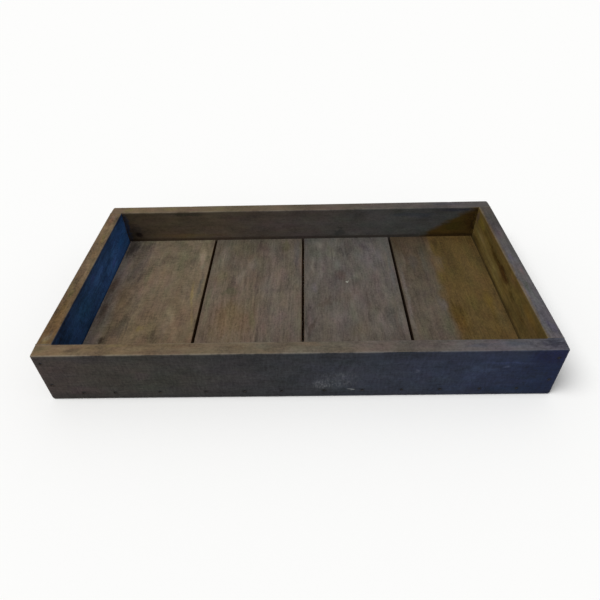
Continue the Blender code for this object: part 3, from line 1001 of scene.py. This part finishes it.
weathered_hardwood(
    "floor_board_1",
    axes=FLOOR_AXES,
    heart=(0.010, -0.084),
    lean=(0.0, -0.188),
    ring_mm=8.0,
    bare=BARE_WOOD,
    faces=[(UP, ["#65543F", "#6A5B49", "#6C6250"], [PAINTED_LIGHT_STRIP], board_1_marks)],
    figure={"mottle": 1.0, "fibre": 0.45, "streak": 0.4, "saw": 0.75, "grit": 1.1, "ring": -0.2},
    sawn=UP,
    joint_dirt_and_light="#46331F",
)

# %% [markdown]
# The second board is greyer and finely streaked. A pale streak slants through its middle, and a patch of
# warmer, fibrous wood lies at its front left.

# %% Second floor board
GREYER_SIDE = (RIGHT, -68, 18, "#5D554D", 0.55)

board_2_marks = [
    ((-96, 122), (30, 34), "#55503F", 0.5),
    ((-58, 122), (19, 26), "#4B4038", 0.6),
    ((-55, 98), (9, 18), "#4A3F38", 0.45),
    ((-22, 124), (9, 22), "#545239", 0.55),
    ((-4, 100), (6, 60), "#4D4A48", 0.6),
    ((-73, 76), (12, 24), "#6C645A", 0.55),
    ((-88, 46), (8, 32), "#73675D", 0.6, -18),
    ((-99, 30), (6, 26), "#4E443B", 0.6),
    ((-118, 44), (14, 26), "#665E48", 0.5),
    ((-62, 30), (5, 50), "#4F433C", 0.55),
    ((-36, 40), (20, 34), "#695E54", 0.5),
    ((-100, 8), (16, 11), "#4D4C39", 0.65),
    ((-30, 12), (30, 10), "#524842", 0.5),
    ((-94, -56), (36, 50), "#69583F", 0.75),
    ((-64, -54), (5, 34), "#545338", 0.5, 12),
    ((-54, -74), (5, 26), "#493F36", 0.6),
    ((-30, -52), (22, 34), "#655D54", 0.5),
    ((-130, -10), (5, 70), "#6A6450", 0.45),
    ((-121, 96), (10, 42), "#7C7266", 0.45),
    ((-28, 100), (14, 42), "#3E3830", 0.25),
]
weathered_hardwood(
    "floor_board_2",
    axes=FLOOR_AXES,
    heart=(-0.085, -0.05),
    lean=(0.05, 0.04),
    ring_mm=5.5,
    bare=BARE_WOOD,
    faces=[(UP, ["#5F5041", "#64574A", "#554D42"], [GREYER_SIDE], board_2_marks)],
    figure={"mottle": 1.1, "fibre": 0.85, "streak": 0.85, "grit": 1.3, "ring": -0.08},
    joint_dirt_and_light="#86705A",
)

# %% [markdown]
# The third board is the greyest. It has a soft knot with a fleck of white beside it, an arch of rings at
# the front, and a pale streak along the arch's right leg.

# %% Third floor board
board_3_marks = [
    ((28, 92), (18, 62), "#5D5B52", 0.6),
    ((46, 108), (4, 34), "#6B675E", 0.6),
    ((54, 100), (3, 30), "#726D64", 0.55),
    ((20, 70), (3.5, 40), "#6F6B61", 0.5),
    ((34, 60), (3, 30), "#6B675E", 0.45),
    ((76, 124), (22, 34), "#4B4844", 0.8),
    ((116, 90), (24, 56), "#635E5E", 0.65),
    ((140, 60), (4, 80), "#565A59", 0.4),
    ((62, 46), (9, 20), "#4A3B35", 0.7),
    ((84, 38), (14, 12), "#65625A", 0.5),
    ((22, 16), (8, 16), "#5E575B", 0.5),
    ((71, 30), (2.6, 2.1), "#A4A79B", 0.8),
    ((76, 33), (4, 3), "#6F6B62", 0.5),
    ((74, -2), (34, 18), "#594E47", 0.6),
    ((34, -20), (26, 8), "#4E443C", 0.55, 28),
    ((18, -66), (4, 30), "#423930", 0.7, -20),
    ((10, -50), (4, 40), "#4A4A40", 0.5),
    ((56, -56), (26, 26), "#665E58", 0.6),
    ((84, -76), (18, 22), "#5C5043", 0.6),
    ((98, -30), (5, 44), "#4F463F", 0.5),
    ((113, -56), (7, 30), "#6A605B", 0.6),
    ((127, -38), (8, 50), "#504F49", 0.55),
    ((140, -50), (5, 44), "#67615C", 0.4),
    ((32, 124), (11, 16), "#77736A", 0.45),
    ((60, 70), (10, 20), "#6E6A62", 0.4),
    ((120, 74), (10, 22), "#45423F", 0.3),
    ((121, -72), (8, 18), "#6E6660", 0.4),
]
weathered_hardwood(
    "floor_board_3",
    axes=FLOOR_AXES,
    heart=(-0.012, -0.079),
    lean=(0.0, -0.166),
    ring_mm=9.0,
    bare=BARE_WOOD,
    faces=[(UP, ["#564D44", "#5A534D", "#56524D"], [], board_3_marks)],
    figure={"mottle": 1.15, "fibre": 0.75, "streak": 0.75, "grit": 1.25, "ring": -0.18},
    joint_dirt_and_light="#86705A",
)

# %% [markdown]
# The fourth board is where the olive begins: painted warm light that falls on the board's right part. The
# board's left third is as grey as its neighbour, and the edge of the light is uneven and thin in places. A
# fine ruled line of painted shade lies along the right wall, in the corner where the board meets it.

# %% Fourth floor board
# Painted warm light: the olive beyond this edge, and the olive marks below.
OLIVE_LIGHT_EDGE = (RIGHT, 200, 17, "#534222", 0.95)
# Painted shade: a fine dark line in the corner at the right wall.
WALL_CORNER_SHADE = (RIGHT, 284.4, 0.9, "#1A1409", 0.8, True)

board_4_marks = [
    ((157, 124), (6, 24), "#3E3022", 0.6),
    ((161, 78), (5, 32), "#655C50", 0.45),
    ((154, -20), (4, 90), "#6A6158", 0.4),
    ((176, 76), (10, 28), "#4A453F", 0.5),
    ((194, 70), (7, 50), "#4F4C44", 0.5),
    ((182, 0), (18, 12), "#4F463F", 0.5),
    ((202, -24), (9, 18), "#5A5651", 0.5),
    ((202, -66), (9, 32), "#575542", 0.5),
    ((178, -50), (14, 30), "#5E554C", 0.4),
    ((208, 112), (6, 36), "#62503F", 0.6),
    ((215, 76), (12, 26), "#604F3D", 0.75),
    ((212, 52), (10, 22), "#5B4C39", 0.55),
    ((212, 36), (12, 26), "#534620", 0.6),
    ((206, -2), (9, 18), "#59472B", 0.6),
    ((220, 124), (8, 28), "#43351A", 0.8),
    ((240, 138), (46, 9), "#46371B", 0.5),
    ((222, -54), (14, 44), "#4B3810", 0.7),
    ((262, 52), (20, 70), "#5D4D2E", 0.5),
    ((236, 18), (18, 24), "#4D3E1C", 0.4),
    ((268, -20), (10, 46), "#61501F", 0.5),
    ((279, 130), (7, 22), "#3C2D10", 0.6),
    ((155, 0), (5, 130), "#67645F", 0.35),
    ((212, -40), (9, 50), "#463710", 0.45),
    ((243, 0), (15, 44), "#69572F", 0.4),
    ((274, -50), (8, 50), "#655638", 0.35),
]
weathered_hardwood(
    "floor_board_4",
    axes=FLOOR_AXES,
    heart=(0.07, -0.06),
    lean=(-0.03, 0.05),
    ring_mm=6.5,
    bare=BARE_WOOD,
    faces=[(UP, ["#564D43", "#534A3F", "#453A2C"], [OLIVE_LIGHT_EDGE, WALL_CORNER_SHADE], board_4_marks)],
    figure={"mottle": 1.35, "fibre": 0.75, "streak": 0.55, "grit": 1.5, "ring": -0.06},
    joint_dirt_and_light="#291D11",
)

# %% [markdown]
# The front rail was never planed: faint saw marks stand across its grain. Its face is darker than its rim,
# partly its own colour and partly painted shade. It darkens from brown on the left to slate and then to navy,
# with a chalky scuff low in the middle; the slate and the navy are painted blue light. Its rim goes from warm
# brown to a greyish mauve, the mauve also painted blue light, and its upper arris is rubbed pale, with a
# painted highlight along it.

# %% Front rail
# The tones of the face: partly painted shade, and towards the right painted blue light.
FRONT_TONES = ["#3B332F", "#37342F", "#313031", "#2E3139", "#262D40", "#14203C"]
CHALK, CHALK_SPANS_MM = "#84878C", (1.9, 4.5, 7.5)
CHALK_PATCHES = [((28, 23), (15, 10), WHITE, 0.42), ((50, 32), (36, 20), WHITE, 0.2)]
TOP_SHADE = (UP, 60, 12, "#202126", 0.28)
LOW_SHADE = (DOWN, -14, 10, "#1F2024", 0.35)
# Painted blue light: the wash that deepens the face to navy at its right end.
DEEPEST_BLUE_LIGHT = (RIGHT, 254, 34, "#091634", 0.62)
FRONT_WASHES = [TOP_SHADE, LOW_SHADE, DEEPEST_BLUE_LIGHT]

# The blue and navy marks towards the right end are painted blue light.
front_marks = [
    ((-184, 42), (15, 9), "#43353A", 0.4),
    ((-256, 16), (34, 10), "#493A3C", 0.45),
    ((-172, 30), (46, 26), "#353933", 0.3),
    ((27, 24), (13, 9), "#5A5D63", 0.25),
    ((48, 32), (30, 17), "#494C55", 0.3),
    ((60.5, 14), (2.8, 1.9), "#A5A6A6", 0.75),
    ((138, 44), (4.5, 4.5), "#555968", 0.35),
    ((242, 50), (4.5, 3.0), "#4D5570", 0.4),
    ((212, 46), (20, 12), "#353F5A", 0.5),
    ((202, 34), (12, 8), "#36405A", 0.45),
    ((150, 30), (10, 26), "#2C2C3C", 0.4),
    ((245, 57), (46, 3), "#333D5E", 0.4),
    ((280, 30), (24, 16), "#1B2B40", 0.4),
    ((170, 28), (22, 13), "#20232D", 0.3),
    ((262, 12), (60, 9), "#10233A", 0.35),
    ((290, 68), (34, 16), "#10163A", 0.75),
    ((296, 32), (12, 10), "#081436", 0.4),
]
front_rim_marks = [
    ((-292, -155), (14, 8), "#77694C", 0.5),
    ((-258, -152), (16, 4), "#7A5F49", 0.5),
    ((-206, -150), (18, 4), "#776745", 0.5),
    ((-128, -152), (26, 6), "#5E4938", 0.5),
    ((-104, -162), (4, 2.5), "#3F3A2F", 0.7),
    ((-68, -155), (14, 6), "#5A4939", 0.5),
    ((-38, -154), (14, 7), "#565145", 0.5),
    ((20, -151), (20, 4), "#6E5B4C", 0.4),
    ((100, -154), (16, 7), "#62524D", 0.5),
    ((128, -150), (14, 5), "#4F4D46", 0.5),
    ((172, -153), (10, 5), "#625252", 0.5),
    ((206, -157), (20, 4), "#47464F", 0.5),
    ((250, -155), (22, 5), "#3E404C", 0.6),
    ((262, -150), (16, 3), "#5D5A60", 0.5),
    ((290, -155), (14, 9), "#292A36", 0.75),
    ((-258, -157), (16, 9), "#46382A", 0.6),
    ((-190, -155), (26, 7), "#7D6E55", 0.35),
    # Painted highlights: the next two marks, pale blue-grey towards the rim's outer arris.
    ((238, -155), (24, 6), "#5A5F68", 0.35),
    ((250, -160), (46, 4), "#62646F", 0.2),
    ((276, -154), (3.5, 7), "#2E2C3C", 0.5),
]
weathered_hardwood(
    "front_rail",
    axes=RAIL_AXES,
    heart=(-0.06, 0.05),
    lean=(0.02, 0.01),
    ring_mm=6.0,
    bare=["#4A4039", "#45413E", "#3E4046"],
    faces=[
        (FRONT, FRONT_TONES, FRONT_WASHES, front_marks, (CHALK, CHALK_SPANS_MM, CHALK_PATCHES)),
        # The rim's mauve towards the right is painted blue light.
        (UP, ["#6C5A43", "#645542", "#605649", "#574F4A", "#4E4E56"], [], front_rim_marks),
    ],
    figure={"mottle": 1.55, "fibre": 0.5, "streak": 0.45, "saw": 1.1, "grit": 1.25, "ring": -0.05},
    # Painted highlight as well as wear: the pale tones of the upper arris.
    worn_and_highlit=(["#8C8473", "#857D6F", "#73706C", "#4E525F"], 0.55),
)

# %% [markdown]
# The back rail is dark brown inside, a little darker just under its rim, which is painted shade, and warm on
# the rim itself. A dark spot lies low at its left end. The olive of the right end is painted warm light: it
# covers a wedge low on the back rail's inner face, with a soft slanting edge. A ruled line of painted shade
# lies where the floor begins.

# %% Back rail
# Painted warm light: the olive wedge. Painted shade: the band under the rim and the line at the foot.
OLIVE_LIGHT_WEDGE = ((0.53, 0, -0.848), 77.5, 12, "#503D16", 0.97)
UNDER_RIM_SHADE = (UP, 60, 8, "#332D28", 0.13)
BACK_FOOT_SHADE = (DOWN, -29.5, 2.0, "#2A1C10", 0.5, True)
INNER_TONES = ["#524534", "#5F5345", "#58514C", "#555553", "#515355"]

back_marks = [
    ((-268, 46), (13, 17), "#35302C", 0.65),
    ((-267, 35), (8, 9), "#1E1210", 0.9),
    # Painted reflection: blue from the navy left wall, on the back rail beside it.
    ((-283, 49), (6, 30), "#243A58", 0.7),
    ((-190, 33), (84, 6), "#6A5A3C", 0.55),
    ((-185, 74), (50, 4), "#36382C", 0.6),
    ((-60, 50), (70, 24), "#5B4E4B", 0.35),
    ((66, 34), (7, 12), "#3C3B3A", 0.6),
    ((185, 65), (50, 6), "#4C525C", 0.5),
    ((252, 74), (34, 3), "#2F3446", 0.6),
    ((277, 50), (9, 24), "#3F280E", 0.6),
    ((283, 48), (4, 30), "#2A1C0A", 0.7),
    ((200, 30), (11, 8), "#4A4A46", 0.85),
    ((90, 34), (20, 9), "#6A6460", 0.4),
    ((135, 52), (40, 10), "#646464", 0.3),
    ((250, 42), (18, 12), "#484016", 0.5),
    ((246, 28), (42, 5), "#2F200A", 0.6),
]
back_rim_marks = [
    ((-276, 156), (12, 8), "#70643F", 0.5),
    ((-240, 155), (16, 6), "#735A4B", 0.5),
    ((-208, 156), (14, 8), "#6E643F", 0.5),
    ((-172, 153), (14, 4), "#6F564B", 0.5),
    ((-128, 155), (12, 8), "#63603F", 0.4),
    ((60, 155), (16, 6), "#5E5249", 0.4),
    ((240, 158), (40, 5), "#42434A", 0.5),
]
weathered_hardwood(
    "back_rail",
    axes=RAIL_AXES,
    heart=(0.05, -0.06),
    lean=(0.01, -0.02),
    ring_mm=6.0,
    bare=["#4A4038", "#463F3A", "#403E3E"],
    faces=[
        (FRONT, INNER_TONES, [UNDER_RIM_SHADE, OLIVE_LIGHT_WEDGE, BACK_FOOT_SHADE], back_marks),
        (UP, ["#6B5946", "#635642", "#5B5042", "#524C48", "#4E4A4A"], [], back_rim_marks),
    ],
    figure={"mottle": 1.35, "fibre": 0.4, "streak": 0.35, "grit": 0.95, "ring": -0.05},
    worn_and_highlit=(RUBBED, 0.3),
)

# %% [markdown]
# The left end board is a deep navy inside, darker towards the top: painted blue light, which falls on the
# inside of this wall and not on its rim. Its rim is as worn and warm as the rails'.

# %% Left end board
# Painted blue light: the navy of the inner face, with its washes and marks.
UPPER_NAVY = (UP, 57, 9, "#203758", 0.5)
DULL_TOP = (UP, 72.5, 3, "#1B2840", 0.7)

left_marks = [
    ((-58, 52), (50, 20), "#28587A", 0.55),
    ((-124, 66), (24, 16), "#28466E", 0.5),
    ((-8, 66), (16, 8), "#454F92", 0.35),
    ((66, 36), (16, 9), "#4C55A0", 0.4),
    ((112, 44), (24, 12), "#2C6AAE", 0.5),
    ((96, 60), (30, 8), "#4068AC", 0.4),
    ((34, 56), (12, 18), "#2B4C7C", 0.4),
    ((55, 51), (16, 10), "#1B3358", 0.65),
    ((-122, 50), (28, 11), "#19345A", 0.6),
]
left_rim_marks = [
    ((-296, -138), (6, 12), "#74653D", 0.5),
    ((-296, -86), (8, 30), "#5E4826", 0.65),
    ((-296, -56), (5, 12), "#6B6138", 0.5),
    ((-294, 32), (5, 14), "#7C6146", 0.5),
    ((-295, 66), (4, 16), "#7D5E3B", 0.5),
    ((-293, 74), (4, 10), "#74693E", 0.5),
    ((-297, 122), (5, 14), "#7B5843", 0.6),
    ((-295, -134), (9, 12), "#75695C", 0.4),
    ((-296, -92), (8, 14), "#4C3A22", 0.3),
    ((-295, 54), (8, 14), "#84705A", 0.35),
    ((-295, 93), (8, 14), "#4A3B28", 0.35),
    ((-295, 134), (8, 10), "#7E6E60", 0.35),
]
weathered_hardwood(
    "left_end",
    axes=END_AXES,
    heart=(0.05, -0.07),
    lean=(0.01, 0.02),
    ring_mm=6.0,
    bare=["#4B413A", "#4A4038"],
    faces=[
        (RIGHT, ["#26446E", "#385C8F", "#3E69A6"], [UPPER_NAVY, DULL_TOP], left_marks),
        (UP, ["#584328", "#695741", "#65533D"], [], left_rim_marks),
    ],
    figure={"mottle": 2.6, "fibre": 0.6, "streak": 0.75, "grit": 2.1, "ring": -0.04},
    worn_and_highlit=(RUBBED, 0.25),
)

# %% [markdown]
# The right end board is an olive brown inside, painted warm light over its wood, darker towards the top, with
# a dark band that slants along the grain. Its rim is a cool grey, painted blue light, and the olive light
# laps over its inner arris too. A ruled line of painted shade lies along the inside's foot.

# %% Right end board
# Painted warm light: the olive of the inner face and the olive lap on the rim. Painted shade: the line at the
# foot.
DARKER_TOP = (UP, 56, 10, "#57461F", 0.55)
RIGHT_FOOT_SHADE = (DOWN, -26.6, 1.6, "#2A2010", 0.5, True)
OLIVE_LIGHT_LAP = (LEFT, -290, 3, "#5A4B31", 0.55)

right_marks = [
    ((84, 59), (48, 6), "#48350A", 0.55),
    ((38, 57), (62, 8), "#3E2B04", 0.9, 1),
    ((0, 54), (38, 9), "#402706", 0.85, 3),
    ((-37, 50), (16, 7), "#402E08", 0.6, 8),
    ((-78, 45), (16, 5), "#4E3910", 0.45),
    ((0, 43), (36, 4), "#5A4413", 0.4),
    ((118, 64), (24, 10), "#7A6928", 0.6),
    ((138, 64), (8, 14), "#5A4840", 0.6),
    ((104, 45), (40, 7), "#7C6E45", 0.6),
    ((40, 40), (60, 6), "#7A6A40", 0.6),
    ((20, 32), (80, 4), "#7A6A42", 0.35),
    ((-56, 58), (16, 8), "#7A6430", 0.5),
    ((-28, 68), (20, 8), "#765A38", 0.6),
    ((120, 29), (40, 6), "#45350F", 0.7),
    ((-74, 34), (30, 10), "#5C4A26", 0.5),
    ((-96, 64), (30, 9), "#735727", 0.5),
]
right_rim_marks = [
    ((297, -130), (6, 12), "#534D64", 0.5),
    ((295, -62), (5, 26), "#50574F", 0.5),
    ((298, -22), (4, 12), "#665659", 0.5),
    ((294, 12), (5, 12), "#565266", 0.5),
    ((295, 66), (6, 18), "#55484E", 0.5),
    ((296, 118), (5, 14), "#41413B", 0.4),
    ((295, -55), (8, 14), "#3E423A", 0.3),
]
weathered_hardwood(
    "right_end",
    axes=END_AXES,
    heart=(-0.05, 0.08),
    lean=(0.01, 0.02),
    ring_mm=6.0,
    bare=["#3A3D48", "#40403F"],
    faces=[
        (LEFT, ["#64522E", "#66542B", "#67552C"], [DARKER_TOP, RIGHT_FOOT_SHADE], right_marks),
        (UP, ["#58555A", "#555354", "#443E39"], [OLIVE_LIGHT_LAP], right_rim_marks),
    ],
    figure={"mottle": 1.5, "fibre": 0.5, "streak": 0.8, "grit": 1.2, "ring": -0.08},
    worn_and_highlit=(RUBBED, 0.2),
)

# %% [markdown]
# The nails stay as the frame has them, because a round head and a shank are all that a nail is.
# They are iron wire, oxidised long ago: nearly black, with a greyer bloom where the oxide is thick. Oxide
# is rough and no longer reflects like a metal, so only part of the surface counts as one.

# %% Oxidised iron nails
OXIDE, THICK_OXIDE = "#0E1118", "#14161B"
BLOOM_MM, BLOOM_DETAIL, BLOOM_AT = 0.9, (4, 0.65), (0.45, 0.65)
NAIL_ROUGHNESS, NAIL_METAL_SHARE = 0.62, 0.55
NAIL_RELIEF_DEPTH, NAIL_RELIEF_STRENGTH = 0.1 * MM, 0.7

iron = bpy.data.materials.new("oxidised_iron")
iron.use_nodes = True
iron_tree = iron.node_tree
iron_shader = iron_tree.nodes["Principled BSDF"]
nail_place = add_node(iron_tree, "ShaderNodeTexCoord", output="Object")
bloom = stretched_noise(iron_tree, nail_place, (BLOOM_MM,) * 3, *BLOOM_DETAIL)
thick = soft_mask(iron_tree, bloom, *BLOOM_AT)
iron_colour = mixed(iron_tree, thick, linear(OXIDE), linear(THICK_OXIDE))
iron_tree.links.new(iron_colour, iron_shader.inputs["Base Color"])
iron_shader.inputs["Roughness"].default_value = NAIL_ROUGHNESS
iron_shader.inputs["Metallic"].default_value = NAIL_METAL_SHARE
relief = {"Height": bloom, "Strength": NAIL_RELIEF_STRENGTH, "Distance": NAIL_RELIEF_DEPTH}
iron_tree.links.new(add_node(iron_tree, "ShaderNodeBump", relief), iron_shader.inputs["Normal"])
for name in NAIL_NAMES:
    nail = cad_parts[name]
    nail.data.materials.clear()
    nail.data.materials.append(iron)
print("nails:", len(NAIL_NAMES), "in", iron.name)
